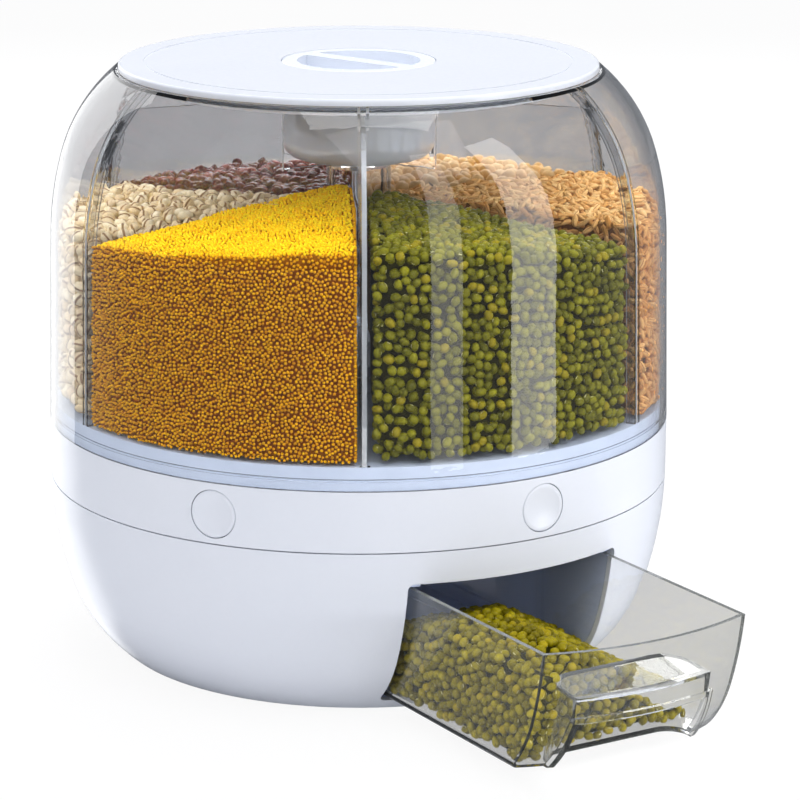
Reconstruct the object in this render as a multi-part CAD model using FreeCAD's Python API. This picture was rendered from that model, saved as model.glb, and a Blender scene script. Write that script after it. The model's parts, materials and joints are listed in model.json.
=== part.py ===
import FreeCAD, Part
import math
import os

# Six-cell rotating grain dispenser, in millimetres.
# The origin is on the floor under the turntable axis, +Z is up, and the drawer pulls out along -Y.
# A sector's middle line is modelled along -Y and turned about Z into its place.

# Outline
body_radius = 150.8
lid_top = 286.3
foot_height = 1.2
base_top = 85.5
turning_gap = 0.6
ring_height = 28.5
cell_count = 6

# Fits: between moving pieces, between fixed pieces, round a pin, round a ball
slide_gap = 0.3
seat_gap = 0.1
assembly_gap = 0.2
pin_gap = 0.05

# How far joined shapes reach into each other, how far a cutter runs past a face, and how near counts as equal
weld = 0.5
beyond = 1.0
near_enough = 0.01

# Base bowl: a leaning side arc, then a foot arc down to the flat bottom
bowl_wall = 3.0
bowl_lean = 1.2
bowl_side_radius = 178.0
bowl_side_turn = 17.5
bowl_floor_inset = 31.4

# Clear tank: a drafted wall, then two shoulder arcs up to its lip
tank_wall = 2.9
tank_draft = 1.3
tank_shoulder_height = 77.9
tank_shoulder_radius = 152.5
tank_shoulder_turn = 14.7
tank_top_inset = 33.5
tank_lip = 3.0
tank_lip_reach = 10.8
snap_height = 1.2
snap_depth = 0.7
snap_rise = 4.0

# Guide ribs in the tank, and the divider that slides in between them
blade = 2.2
blade_slot_gap = 0.2
guide_rib = 1.3
guide_rib_depth = 4.0
divider_drop = 10.9
hub_radius = 16.0
hub_wall = 2.2
cup_room = 2.5

# Lid and its seal
lid_inset = 2.3
lid_plate = 3.1
lid_edge_round = 1.2
lid_skirt_wall = 2.4
lid_skirt_gap = 2.5
lid_skirt_depth = 6.7
lid_line_inset = 12.0
lid_line_width = 1.4
lid_line_depth = 0.35
lid_collar_wall = 2.4
lid_collar_depth = 15.0
seal_height = 3.0
seal_lift = 1.2

# Cup under the lid, and the twist cap that closes it
cup_radius = 37.0
cup_wall = 2.2
cup_depth = 43.2
cup_corner = 9.0
cup_snap_rise = 3.0
cap_body_radius = 32.0
cap_depth = 14.3
cap_floor = 2.3
cap_rim_round = 0.8
well_radius = 29.6
well_edge_round = 1.6
grip_bar = 9.0
grip_angle = 18.5
lug_drop = 6.3
lug_reach = 2.2
lug_height = 2.0
lug_half_angle = 10.0
catch_height = 1.8
catch_half_angle = 25.0

# Drying pack that leans in the cup
pack_radius = 31.0
pack_height = 11.0
pack_round = 1.5
pack_tilt = 11.0
pack_tilt_towards = -31.0
pack_lift = 1.1

# Hopper floor: a tray with one funnel for each cell
hopper_rise = 10.9
hopper_plate = 3.2
hopper_rim = 2.5
hopper_rim_lift = 0.45
funnel_depth = 16.1
funnel_wall = 2.0
funnel_half_width = 33.0
funnel_half_reach = 23.0
outlet_radius = 98.0
outlet_half_width = 16.0
outlet_half_reach = 5.0
spigot_wall = 2.2
spigot_height = 7.5
post_radius = 4.5
post_inset = 22.8
post_drop = 6.6
screw_radius = 1.5
screw_head_radius = 3.2
screw_head = 1.4
hopper_screw_stop = 2.0

# Turntable ring, and the chutes on it. The buttons stand a few degrees past the middle of their cells.
button_lead = 3.0
ring_wall = 2.6
ring_floor = 2.2
chute_wall = 2.0
chute_side_gap = 0.5
chute_end_gap = 2.0
rail_wall = 3.8
rail_inset = 19.8
boss_radius = 2.4
boss_reach = 3.0

# Gates
gate_thickness = 2.4
gate_half_width = 18.0
gate_overlap = 5.5
gate_land = 2.0
gate_tab_thickness = 2.4
gate_tab_half_width = 12.0
gate_tab_drop = 8.0

# Buttons and return springs
button_radius = 11.25
button_depth = 8.1
button_sink = 0.3
button_lift = 0.15
button_dish = 1.2
button_rim = 1.75
button_edge_round = 0.7
sleeve_wall = 1.5
sleeve_depth = 10.5
stem_radius = 4.0
pin_radius = 2.0
pin_reach = 5.4
spring_radius = 3.6
spring_wire = 0.9

# Deck, pivot and ball bearing
deck_thickness = 3.0
deck_drop = 2.5
deck_chute_half_width = 26.0
ball_radius = 2.5
ball_count = 12
ball_circle = 62.0
cage_half_width = 5.0
cage_height = 1.5
pivot_radius = 6.0
pivot_thread = 5.0
pivot_spare_thread = 1.0
pivot_boss_radius = 13.0
pivot_boss_drop = 4.0
pivot_head = 4.5
pivot_head_flats = 17.0
hub_sleeve_radius = 15.0
hub_sleeve_height = 10.5
washer_radius = 13.0
washer_thickness = 1.6
nut_height = 6.5
nut_flats = 16.0

# Feet, and the posts that carry the deck
foot_radius = 9.0
foot_inset = 19.4
foot_depth = 1.5
centre_foot_radius = 20.0
deck_post_inset = 15.8
deck_post_length = 40.0
deck_post_rib = 3.0
deck_post_angles = (34.0, 90.0, 146.0, -34.0, -90.0, -146.0)
deck_screw_length = 12.0

# Drawer, and the bay that it slides in
drawer_pull = 103.0
drawer_half_width = 54.0
drawer_headroom = 12.7
drawer_back = 22.0
drawer_wall = 2.2
drawer_round = 3.0
drawer_lift = 1.1
opening_side_gap = 3.0
opening_head_gap = 3.2
opening_round = 3.0
bay_wall = 2.2
bay_floor = 2.6
bay_back_gap = 5.0
bay_rail_gap = 0.4
bay_rail_height = 7.0
bay_front_gap = 13.0
hold_down_height = 2.0
hold_down_gap = 1.0
hold_down_reach = 4.0
skid_inset = 14.0
skid_width = 3.0
chute_end_lift = 4.7

# Finger recess in the drawer's front: open below and to the front, with a raised lip
recess_half_width = 37.0
recess_inset = 39.1
recess_draft = 6.0
recess_corner = 10.0
recess_height = 36.5
recess_roof_fall = 2.5
recess_mouth_height = 24.0
recess_lip_reach = 2.0
recess_lip_width = 3.0

AXIS = FreeCAD.Vector(0, 0, 1)
OUT = FreeCAD.Vector(0, -1, 0)
ORIGIN = FreeCAD.Vector(0, 0, 0)
half_sector = 180.0 / cell_count

# Heights that follow from the values above
bowl_floor_top = foot_height + bowl_wall
deck_top = base_top - deck_drop
deck_bottom = deck_top - deck_thickness
ring_bottom = base_top + turning_gap
ring_floor_top = ring_bottom + ring_floor
ring_top = ring_bottom + ring_height
ball_height = (deck_top + ring_bottom) / 2
plate_bottom = lid_top - lid_plate
tank_top = plate_bottom - slide_gap
hopper_top = ring_top + hopper_rise
outlet_bottom = hopper_top - funnel_depth
gate_top = outlet_bottom - slide_gap
gate_bottom = gate_top - gate_thickness
chute_top = gate_bottom - slide_gap
cup_bottom = plate_bottom - cup_depth
bay_bottom = bowl_floor_top + seat_gap
bay_floor_top = bay_bottom + bay_floor
drawer_bottom = bay_floor_top + drawer_lift
drawer_top = deck_bottom - drawer_headroom

# Widths that follow from the values above
mouth_radius = body_radius - tank_top_inset - tank_lip_reach
deck_radius = body_radius - bowl_wall - slide_gap
chute_half_width = outlet_half_width + chute_side_gap
chute_half_reach = outlet_half_reach + chute_end_gap
opening_half_width = drawer_half_width + opening_side_gap


# Plain shapes

def point(radius, height):
    """A point of a half section: radius along X, height along Z."""
    return FreeCAD.Vector(radius, 0, height)


def normal(angle):
    """Direction in a half section at an angle above the horizontal."""
    return point(math.cos(math.radians(angle)), math.sin(math.radians(angle)))


def line(start, end):
    return Part.LineSegment(start, end).toShape()


def arc_about(centre, radius, start, end):
    return Part.Arc(*[centre + normal(a) * radius for a in (start, (start + end) / 2, end)]).toShape()


def spin(edges):
    """Solid of revolution of a closed half section."""
    return Part.Face(Part.Wire(edges)).revolve(ORIGIN, AXIS, 360)


def spin_points(points):
    return Part.Face(Part.makePolygon([point(*p) for p in points + points[:1]])).revolve(ORIGIN, AXIS, 360)


def disc(radius, low, high):
    return Part.makeCylinder(radius, high - low, FreeCAD.Vector(0, 0, low))


def ring(inner, outer, low, high):
    return disc(outer, low, high).cut(disc(inner, low - beyond, high + beyond))


def wedge(inner, outer, half_angle, low, high, angle):
    """Part of a ring that spans half_angle to each side of a direction."""
    piece = Part.makeCylinder(outer, high - low, FreeCAD.Vector(0, 0, low), AXIS, 2 * half_angle)
    piece = piece.cut(disc(inner, low - beyond, high + beyond))
    return turned(piece, angle - 90 - half_angle)


def block(near, far, left, right, low, high):
    """Box on the middle line of a sector: near and far are distances from the axis along -Y."""
    return Part.makeBox(right - left, far - near, high - low, FreeCAD.Vector(left, -far, low))


def rod(radius, near, far, height):
    """Round bar that points outwards along -Y at a height."""
    return Part.makeCylinder(radius, far - near, FreeCAD.Vector(0, -near, height), OUT)


def hexagon(flats, low, high):
    """Six-sided prism about the axis, measured across its flats."""
    corner = flats / math.sqrt(3)
    corners = [FreeCAD.Vector(corner * math.cos(math.radians(60 * i)), corner * math.sin(math.radians(60 * i)), low)
               for i in range(7)]
    return Part.Face(Part.makePolygon(corners)).extrude(FreeCAD.Vector(0, 0, high - low))


def placed(shape, distance):
    """Copy of a shape on the axis, moved outwards along -Y."""
    return shape.translated(FreeCAD.Vector(0, -distance, 0))


def turned(shape, angle):
    copy = shape.copy()
    copy.rotate(ORIGIN, AXIS, angle)
    return copy


def around(shape, start, count=cell_count):
    return [turned(shape, start + 360.0 / count * i) for i in range(count)]


def joined(shapes):
    return shapes[0].multiFuse(shapes[1:]).removeSplitter()


def without(shape, tools):
    return shape.cut(Part.makeCompound(tools))


def top_edges(shape, height):
    """The flat edges of a shape at a height."""
    return [e for e in shape.Edges
            if abs(e.BoundBox.Center.z - height) < near_enough and e.BoundBox.ZLength < near_enough]


def save(name, shape):
    solids = shape.Solids
    shape = solids[0] if len(solids) == 1 else Part.makeCompound(solids)
    shape.exportStep("parts/" + name + ".step")
    print("%-18s solids %2d valid %s volume %10.1f" % (name, len(solids), shape.isValid(), shape.Volume))


# Outlines of the bowl and of the tank

class Outline:
    """Two smoothly joined arcs: the first turns by a set angle, and the second runs on to the end."""

    def __init__(self, start, angle, radius, turn, end):
        self.angle = angle
        self.knee = angle + turn
        self.radius = radius
        self.centre = start - normal(angle) * radius
        knee_point = self.centre + normal(self.knee) * radius
        chord = end - knee_point
        self.last_radius = -chord.dot(chord) / (2 * chord.dot(normal(self.knee)))
        self.last_centre = knee_point - normal(self.knee) * self.last_radius

    def edges(self, inset, height):
        """Both arcs moved inwards by inset, with the second one cut off at a height."""
        last_radius = self.last_radius - inset
        end = math.degrees(math.asin((height - self.last_centre.z) / last_radius))
        first = arc_about(self.centre, self.radius - inset, self.angle, self.knee)
        return first, arc_about(self.last_centre, last_radius, self.knee, end)


tank_bend = tank_top - tank_shoulder_height
tank_slope = math.tan(math.radians(tank_draft))
bowl_outline = Outline(point(body_radius, base_top), -bowl_lean, bowl_side_radius, -bowl_side_turn,
                       point(body_radius - bowl_floor_inset, foot_height))
tank_outline = Outline(point(body_radius - (tank_bend - ring_top) * tank_slope, tank_bend), tank_draft,
                       tank_shoulder_radius, tank_shoulder_turn, point(body_radius - tank_top_inset, tank_top))


def bowl_body(inset, low):
    """Solid inside the bowl's outer line, moved inwards by inset, from a height up to the rim."""
    side, foot = bowl_outline.edges(inset, low)
    rim = side.Vertexes[0].Point
    return spin([line(point(0, rim.z), rim), side, foot, line(foot.Vertexes[-1].Point, point(0, low)),
                 line(point(0, low), point(0, rim.z))])


def bowl_radius(height):
    """Outer radius of the bowl at a height, read from its outline."""
    side, foot = bowl_outline.edges(0, height)
    return foot.Vertexes[-1].Point.x


def tank_body(inset, low, high):
    """Solid inside the tank's outer line, moved inwards by inset, between two heights."""
    shoulder, crown = tank_outline.edges(inset, high)
    bend = shoulder.Vertexes[0].Point
    foot = point(bend.x + (bend.z - low) * tank_slope, low)
    return spin([line(point(0, low), foot), line(foot, bend), shoulder, crown,
                 line(crown.Vertexes[-1].Point, point(0, high)), line(point(0, high), point(0, low))])


# Base

deck_post_place = body_radius - deck_post_inset
foot_circle = body_radius - bowl_floor_inset - foot_inset
sink_depth = screw_head + seat_gap


def rubber_feet():
    foot = placed(disc(foot_radius, 0, foot_height + foot_depth), foot_circle)
    return Part.makeCompound(around(foot, half_sector))


def centre_foot():
    return disc(centre_foot_radius, 0, foot_height + foot_depth)


def drawer_opening():
    """Cutter for the drawer's opening in the front of the bowl."""
    cutter = block(deck_radius / 2, body_radius + beyond, -opening_half_width, opening_half_width,
                   bay_floor_top + seat_gap, drawer_top + opening_head_gap)
    lengthwise = [e for e in cutter.Edges if abs(e.Vertexes[0].Y - e.Vertexes[1].Y) > beyond]
    return cutter.makeFillet(opening_round, lengthwise)


def deck_post():
    low = deck_bottom - deck_post_length
    rib = block(deck_post_place, body_radius, -deck_post_rib / 2, deck_post_rib / 2, low, deck_bottom)
    post = placed(disc(post_radius, low, deck_bottom), deck_post_place).fuse(rib)
    hole = placed(disc(screw_radius, deck_top - deck_screw_length, deck_bottom + beyond), deck_post_place)
    return post.cut(hole).common(bowl_body(bowl_wall / 2, foot_height))


def base_bowl():
    shell = bowl_body(0, foot_height).cut(bowl_body(bowl_wall, bowl_floor_top))
    post = deck_post()
    pocket_top = foot_height + foot_depth
    pocket = placed(disc(foot_radius + seat_gap, foot_height - beyond, pocket_top), foot_circle)
    cuts = around(pocket, half_sector)
    cuts.append(disc(centre_foot_radius + seat_gap, foot_height - beyond, pocket_top))
    cuts.append(drawer_opening())
    return without(joined([shell] + [turned(post, a) for a in deck_post_angles]), cuts)


def bay_bar(near_side, far_side, low, high):
    """Bar along the whole bay between two distances from its middle, once on each side."""
    bars = []
    for left, right in ((near_side, far_side), (-far_side, -near_side)):
        bars.append(block(-drawer_back - bay_back_gap - weld, body_radius - bay_front_gap, left, right, low, high))
    return bars


def drawer_bay():
    side = opening_half_width + bay_wall
    back = drawer_back + bay_back_gap
    top = deck_bottom - seat_gap
    outer = block(-back - bay_wall, body_radius, -side, side, bay_bottom, top)
    inner = block(-back, body_radius + beyond, -opening_half_width, opening_half_width, bay_floor_top, top + beyond)
    wall = opening_half_width + weld
    rails = bay_bar(drawer_half_width + bay_rail_gap, wall, bay_floor_top - weld, bay_floor_top + bay_rail_height)
    hold_low = drawer_top + hold_down_gap
    rails += bay_bar(drawer_half_width - hold_down_reach, wall, hold_low, hold_low + hold_down_height)
    skid = drawer_half_width - skid_inset
    rails += bay_bar(skid - skid_width / 2, skid + skid_width / 2, bay_floor_top - weld, drawer_bottom - slide_gap)
    return joined([outer.cut(inner)] + rails).common(bowl_body(bowl_wall + assembly_gap, bay_bottom - beyond))


def ring_chute(low, high):
    return block(outlet_radius - chute_half_reach, outlet_radius + chute_half_reach,
                 -chute_half_width, chute_half_width, low, high)


def deck_chute(low, high, grow):
    """The deck's chute, wide enough for a cell that stops a few degrees off."""
    reach = chute_half_reach + chute_end_gap + grow
    width = deck_chute_half_width + grow
    return block(outlet_radius - reach, outlet_radius + reach, -width, width, low, high)


def base_deck():
    deck = disc(deck_radius, deck_bottom, deck_top)
    chute_low = drawer_top + chute_end_lift
    collar = deck_chute(chute_low, deck_bottom + weld, chute_wall)
    boss = disc(pivot_boss_radius, deck_bottom - pivot_boss_drop, deck_bottom + weld)
    groove = Part.makeTorus(ball_circle, ball_radius + pin_gap, FreeCAD.Vector(0, 0, ball_height))
    hole = disc(screw_radius, deck_bottom - beyond, deck_top + beyond)
    sink = disc(screw_head_radius + assembly_gap, deck_top - sink_depth, deck_top + beyond)
    hole = placed(hole.fuse(sink), deck_post_place)
    cuts = [groove, disc(pivot_radius + pin_gap, 0, base_top), deck_chute(chute_low - beyond, base_top, 0)]
    cuts += [turned(hole, a) for a in deck_post_angles]
    return without(joined([deck, collar, boss]), cuts)


def deck_screws():
    seat = deck_top - sink_depth
    shank = disc(screw_radius, deck_top - deck_screw_length + weld, seat)
    one = placed(disc(screw_head_radius, seat, seat + screw_head).fuse(shank).removeSplitter(), deck_post_place)
    return Part.makeCompound([turned(one, a) for a in deck_post_angles])


# Pivot and bearing

boss_bottom = deck_bottom - pivot_boss_drop
hub_sleeve_top = ring_floor_top + hub_sleeve_height
washer_bottom = hub_sleeve_top + slide_gap
nut_bottom = washer_bottom + washer_thickness
nut_top = nut_bottom + nut_height


def pivot_bolt():
    head = hexagon(pivot_head_flats, boss_bottom - pivot_head, boss_bottom)
    shank = disc(pivot_radius, boss_bottom, washer_bottom)
    return joined([head, shank, disc(pivot_thread, washer_bottom, nut_top + pivot_spare_thread)])


def pivot_washer():
    return ring(pivot_thread + seat_gap, washer_radius, washer_bottom, nut_bottom)


def pivot_nut():
    return hexagon(nut_flats, nut_bottom, nut_top).cut(disc(pivot_thread + pin_gap, nut_bottom - beyond, lid_top))


def bearing_balls():
    ball = Part.makeSphere(ball_radius, FreeCAD.Vector(0, -ball_circle, ball_height))
    return Part.makeCompound(around(ball, 0, ball_count))


def ball_cage():
    low = ball_height - cage_height / 2
    cage = ring(ball_circle - cage_half_width, ball_circle + cage_half_width, low, low + cage_height)
    pocket = placed(disc(ball_radius + seat_gap, low - beyond, low + cage_height + beyond), ball_circle)
    return without(cage, around(pocket, 0, ball_count))


# Buttons, gates and springs

button_bore = button_radius + slide_gap
button_middle = ring_floor_top + button_bore + button_lift
button_front = body_radius - button_sink
button_back = button_front - button_depth
rail_end = body_radius - rail_inset
tab_face = rail_end + slide_gap
tab_back = tab_face - gate_tab_thickness
gate_travel = 2 * outlet_half_reach + gate_land
chute_far = outlet_radius + chute_half_reach + chute_wall


def gate():
    """Sliding plate whose window lies outside the outlet until the button is pushed."""
    near = outlet_radius - outlet_half_reach - gate_overlap
    plate = block(near, tab_face, -gate_half_width, gate_half_width, gate_bottom, gate_top)
    tab = block(tab_back, tab_face, -gate_tab_half_width, gate_tab_half_width,
                button_middle - gate_tab_drop, gate_bottom + weld)
    shut_window = outlet_radius + gate_travel
    window = block(shut_window - outlet_half_reach, shut_window + outlet_half_reach,
                   -outlet_half_width, outlet_half_width, gate_bottom - beyond, gate_top + beyond)
    hole = rod(pin_radius + pin_gap, tab_back - beyond, tab_face + beyond, button_middle)
    return without(joined([plate, tab]), [window, hole])


def button():
    knob = rod(button_radius, button_back, button_front, button_middle)
    front = [e for e in knob.Edges if abs(e.BoundBox.Center.y + button_front) < near_enough]
    knob = knob.makeFillet(button_edge_round, front)
    dish_radius = button_radius - button_rim
    ball = (dish_radius ** 2 + button_dish ** 2) / (2 * button_dish)
    dish = Part.makeSphere(ball, FreeCAD.Vector(0, -(button_front + ball - button_dish), button_middle))
    stem = rod(stem_radius, tab_face, button_back + weld, button_middle)
    pin = rod(pin_radius, tab_face - pin_reach, tab_face + weld, button_middle)
    return joined([knob.cut(dish), stem, pin])


def return_spring():
    """Outer shape of the spring's coil, between the chute and the gate's tab."""
    tube = rod(spring_radius + spring_wire / 2, chute_far, tab_back, button_middle)
    return tube.cut(rod(spring_radius - spring_wire / 2, chute_far - beyond, tab_back + beyond, button_middle))


# Turntable ring

post_place = body_radius - post_inset
post_top = ring_top - post_drop
rim_bottom = button_middle + button_bore + hopper_rim_lift


def gate_guides():
    """Chutes under the outlets, each with the two rails that carry its gate, welded on the ring's floor."""
    near = outlet_radius - chute_half_reach - chute_wall
    side = chute_half_width + rail_wall
    low = ring_floor_top
    tower = block(near, chute_far, -side, side, low, chute_top)
    left = block(near, rail_end, -side, -chute_half_width, low, gate_top)
    right = block(near, rail_end, chute_half_width, side, low, gate_top)
    boss = rod(boss_radius, chute_far - weld, chute_far + boss_reach, button_middle)
    slot = gate_half_width + slide_gap
    path = block(near - beyond, rail_end + beyond, -slot, slot, chute_top, gate_top + beyond)
    guide = without(joined([tower, left, right, boss]), [path, ring_chute(low - beyond, ring_top)])
    return Part.makeCompound(around(guide, button_lead))


def button_sleeve():
    start = body_radius - ring_wall - sleeve_depth
    tube = rod(button_bore + sleeve_wall, start, body_radius - ring_wall / 2, button_middle)
    return tube.common(disc(body_radius - ring_wall / 2, ring_bottom, rim_bottom - slide_gap))


def hopper_screw_hole():
    sink = disc(screw_head_radius + assembly_gap, ring_bottom - beyond, ring_bottom + sink_depth)
    return placed(disc(screw_radius, ring_bottom - beyond, ring_top).fuse(sink), post_place)


def turntable_ring():
    wall = ring(body_radius - ring_wall, body_radius, ring_bottom, ring_top)
    floor = disc(body_radius - ring_wall / 2, ring_bottom, ring_floor_top)
    sleeve = disc(hub_sleeve_radius, ring_floor_top - weld, hub_sleeve_top)
    post = placed(disc(post_radius, ring_floor_top - weld, post_top), post_place)
    solids = [wall, floor, sleeve] + around(button_sleeve(), button_lead) + around(post, half_sector)
    bore = rod(button_bore, body_radius - ring_wall - sleeve_depth - beyond, body_radius + beyond, button_middle)
    cuts = [disc(pivot_radius + pin_gap, 0, ring_top)]
    cuts.append(Part.makeTorus(ball_circle, ball_radius + pin_gap, FreeCAD.Vector(0, 0, ball_height)))
    cuts += around(ring_chute(ring_bottom - beyond, ring_floor_top + beyond), button_lead)
    cuts += around(bore, button_lead)
    cuts += around(hopper_screw_hole(), half_sector)
    return without(joined(solids), cuts)


# Hopper floor and its screws

rim_outer = (body_radius - tank_wall - assembly_gap
             - (hopper_top - ring_top) * math.tan(math.radians(tank_draft)))
snap_low = ring_top + snap_rise


def funnel(grow, low, high):
    """Four-sided funnel of one outlet, thickened by grow, between two heights on its slopes."""
    wires = []
    for height in (low, high):
        share = (height - outlet_bottom) / funnel_depth
        width = outlet_half_width + (funnel_half_width - outlet_half_width) * share + grow
        reach = outlet_half_reach + (funnel_half_reach - outlet_half_reach) * share + grow
        corners = [(-width, -reach), (width, -reach), (width, reach), (-width, reach), (-width, -reach)]
        wires.append(Part.makePolygon([FreeCAD.Vector(x, y - outlet_radius, height) for x, y in corners]))
    return Part.makeLoft(wires, True, True)


def hopper_floor():
    plate_low = hopper_top - hopper_plate
    plate = disc(rim_outer - hopper_rim / 2, plate_low, hopper_top)
    rim = ring(rim_outer - hopper_rim, rim_outer, rim_bottom, hopper_top)
    spigot_radius = hub_radius - hub_wall - assembly_gap
    spigot = ring(spigot_radius - spigot_wall, spigot_radius, hopper_top - weld, hopper_top + spigot_height)
    outside = funnel(funnel_wall, outlet_bottom, hopper_top - weld)
    inside = funnel(0, outlet_bottom - beyond, hopper_top + beyond)
    post = placed(disc(post_radius, post_top, plate_low + weld), post_place)
    hole = placed(disc(screw_radius, post_top - beyond, plate_low), post_place)
    groove = ring(rim_outer - snap_depth, rim_outer + beyond, snap_low - assembly_gap,
                  snap_low + snap_height + assembly_gap)
    solids = [plate, rim, spigot] + around(outside, button_lead) + around(post, half_sector)
    cuts = around(inside, button_lead) + around(hole, half_sector) + [groove]
    return without(joined(solids), cuts)


def hopper_screws():
    seat = ring_bottom + sink_depth
    shank = disc(screw_radius, seat, hopper_top - hopper_plate - hopper_screw_stop)
    one = placed(disc(screw_head_radius, seat - screw_head, seat).fuse(shank).removeSplitter(), post_place)
    return Part.makeCompound(around(one, half_sector))


# Clear tank and divider

divider_bottom = hopper_top + assembly_gap
divider_top = tank_top - divider_drop
lip_bottom = tank_top - tank_lip
collar_inner = cup_radius + assembly_gap
collar_outer = collar_inner + lid_collar_wall


def guide_ribs():
    """Pairs of ribs inside the tank wall, with a slot for one blade between the two of a pair."""
    slot = blade / 2 + blade_slot_gap
    slabs = []
    for left in (-slot - guide_rib, slot):
        slab = block(mouth_radius, body_radius, left, left + guide_rib, divider_bottom, lip_bottom + weld)
        slabs += around(slab, half_sector)
    lining = tank_body(tank_wall - weld, ring_top, lip_bottom + weld)
    lining = lining.cut(tank_body(tank_wall + guide_rib_depth, ring_top - beyond, lip_bottom + beyond))
    return Part.makeCompound(slabs).common(lining).Solids


def tank_shell():
    outer = tank_body(0, ring_top, tank_top)
    inner = tank_body(tank_wall, ring_top - beyond, lip_bottom)
    shell = outer.cut(inner).cut(disc(mouth_radius, lip_bottom - beyond, tank_top + beyond))
    bead = ring(rim_outer - snap_depth + assembly_gap, body_radius - tank_wall + weld, snap_low,
                snap_low + snap_height)
    return joined([shell, bead] + guide_ribs())


def cell_divider():
    blade_slab = block(0, body_radius, -blade / 2, blade / 2, divider_bottom, divider_top)
    hub_top = cup_bottom - cup_room
    blades = joined(around(blade_slab, half_sector) + [disc(hub_radius, divider_bottom, hub_top)])
    blades = blades.common(tank_body(tank_wall + slide_gap, ring_top, divider_top))
    bore = disc(hub_radius - hub_wall, divider_bottom - beyond, hub_top - hub_wall)
    return without(blades, [bore, disc(collar_outer + cup_room, hub_top, lid_top)])


# Lid with its cap, cup, seal and drying pack

skirt_outer = mouth_radius - lid_skirt_gap
collar_bottom = plate_bottom - lid_collar_depth
cup_snap_low = collar_bottom + cup_snap_rise
lug_top = plate_bottom - lug_drop
cap_bottom = plate_bottom - cap_depth


def lid_disc():
    lid_radius = body_radius - tank_top_inset - lid_inset
    plate = disc(lid_radius, plate_bottom, lid_top)
    plate = plate.makeFillet(lid_edge_round, top_edges(plate, lid_top))
    skirt = ring(skirt_outer - lid_skirt_wall, skirt_outer, plate_bottom - lid_skirt_depth, plate_bottom + weld)
    collar = ring(collar_inner, collar_outer, collar_bottom, plate_bottom + weld)
    line_outer = lid_radius - lid_line_inset
    fine_line = ring(line_outer - lid_line_width, line_outer, lid_top - lid_line_depth, lid_top + beyond)
    groove = ring(collar_inner - beyond, collar_inner + snap_depth, cup_snap_low - assembly_gap,
                  cup_snap_low + snap_height + assembly_gap)
    bore = disc(collar_inner, plate_bottom - beyond, lid_top + beyond)
    return without(joined([plate, skirt, collar]), [fine_line, groove, bore])


def lid_seal():
    low = plate_bottom - lid_skirt_depth + seal_lift
    return ring(skirt_outer, mouth_radius - slide_gap, low, low + seal_height)


def cup_section(inset, low):
    """Half section of the cup's round-cornered outline, moved inwards by inset, from a height up."""
    radius = cup_radius - inset
    corner = cup_corner - inset
    bend = point(radius - corner, low + corner)
    top = plate_bottom - seat_gap
    return spin([line(point(0, top), point(radius, top)), line(point(radius, top), point(radius, bend.z)),
                 arc_about(bend, corner, 0, -90), line(point(bend.x, low), point(0, low)),
                 line(point(0, low), point(0, top))])


def moisture_cup():
    inner = cup_radius - cup_wall
    cup = cup_section(0, cup_bottom).cut(cup_section(cup_wall, cup_bottom + cup_wall))
    bead = ring(cup_radius - weld, cup_radius + snap_depth, cup_snap_low, cup_snap_low + snap_height)
    catch_low = lug_top + slide_gap
    catches = [wedge(cap_body_radius + slide_gap, inner + weld, catch_half_angle, catch_low,
                     catch_low + catch_height, grip_angle + turn) for turn in (0, 180)]
    return joined([cup, bead] + catches)


def moisture_cap():
    """Round cap with a bar between two wells for the fingers."""
    top = disc(collar_inner - slide_gap, plate_bottom + slide_gap, lid_top)
    top = top.makeFillet(cap_rim_round, top_edges(top, lid_top))
    body = disc(cap_body_radius, cap_bottom, plate_bottom + slide_gap + weld)
    lugs = [wedge(cap_body_radius - weld, cap_body_radius + lug_reach, lug_half_angle,
                  lug_top - lug_height, lug_top, grip_angle + turn) for turn in (0, 180)]
    floor_top = cap_bottom + cap_floor
    well = disc(well_radius, floor_top, lid_top + beyond)
    bar = Part.makeBox(grip_bar, 4 * well_radius, lid_top, FreeCAD.Vector(-grip_bar / 2, -2 * well_radius, 0))
    wells = turned(well.cut(bar), grip_angle)
    wells = wells.makeFillet(well_edge_round, top_edges(wells, floor_top))
    return joined([top, body] + lugs).cut(wells)


def desiccant_pack():
    pack = disc(pack_radius, -pack_height / 2, pack_height / 2)
    pack = pack.makeFillet(pack_round, [e for e in pack.Edges if e.BoundBox.ZLength < near_enough])
    towards = math.radians(pack_tilt_towards)
    tilt = math.radians(pack_tilt)
    pack.rotate(ORIGIN, FreeCAD.Vector(-math.sin(towards), math.cos(towards), 0), pack_tilt)
    below_middle = pack_radius * math.sin(tilt) + pack_height / 2 * math.cos(tilt)
    return pack.translated(FreeCAD.Vector(0, 0, cup_bottom + cup_wall + pack_lift + below_middle))


# Drawer

recess_slope = math.tan(math.radians(recess_draft))
recess_roof = drawer_bottom + recess_height
recess_mouth_top = drawer_bottom + recess_mouth_height


def recess_outline(grow, height):
    """Outline of the recess at a height: a back with two round corners, open towards the front."""
    narrow = (height - drawer_bottom) * recess_slope
    width = recess_half_width - narrow + grow
    back = body_radius - recess_inset + narrow - grow
    corner = recess_corner + grow
    front = body_radius + recess_inset
    slant = corner * math.sqrt(0.5)
    points = [(-width, front), (-width, back + corner), (-width + corner - slant, back + corner - slant),
              (-width + corner, back), (width - corner, back), (width - corner + slant, back + corner - slant),
              (width, back + corner), (width, front)]
    start, left, left_arc, left_back, right_back, right_arc, right, end = [
        FreeCAD.Vector(x, -y, height) for x, y in points]
    return Part.Wire([line(start, left), Part.Arc(left, left_arc, left_back).toShape(), line(left_back, right_back),
                      Part.Arc(right_back, right_arc, right).toShape(), line(right, end), line(end, start)])


def recess_block(grow, low, high):
    return Part.makeLoft([recess_outline(grow, low), recess_outline(grow, high)], True, True)


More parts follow.
